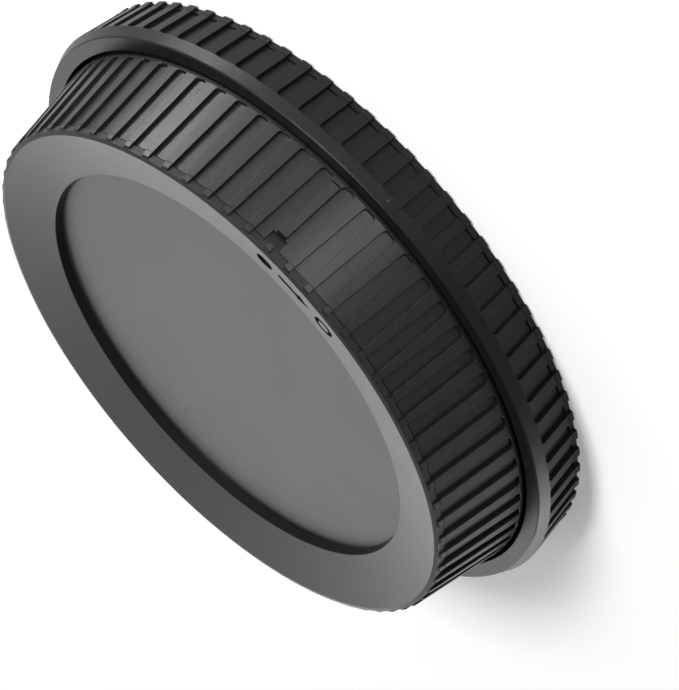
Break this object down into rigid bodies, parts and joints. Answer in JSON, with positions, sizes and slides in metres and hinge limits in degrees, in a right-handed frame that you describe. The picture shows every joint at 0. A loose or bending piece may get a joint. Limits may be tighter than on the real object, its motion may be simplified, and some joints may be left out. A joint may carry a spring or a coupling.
{
  "type": "camera body cap with rear lens cap",
  "caption": "Body cap and rear lens cap locked mouth to mouth by a bayonet, with slotted grip skirts and a recessed round face.",
  "frame": {"origin": "centre of the body cap's closed face, which the locked pair rests on", "axes": "+Z along the common axis, towards the lens cap's closed face; the index ribs are on the -Y side"},
  "size_m": [0.0627, 0.0628, 0.0153],
  "materials": {
    "body_cap_plastic": "moulded matte black",
    "lens_cap_plastic": "moulded matte dark grey"
  },
  "bodies": {
    "body_cap": {"body_cap": "body_cap_plastic"},
    "rear_lens_cap": {"rear_lens_cap": "lens_cap_plastic"}
  },
  "joints": [
    {"name": "bayonet_twist", "type": "hinge", "parent": "body_cap", "child": "rear_lens_cap", "pos_m": [0, 0, 0], "axis": [0, 0, 1], "range_deg": [0, 60]}
  ]
}
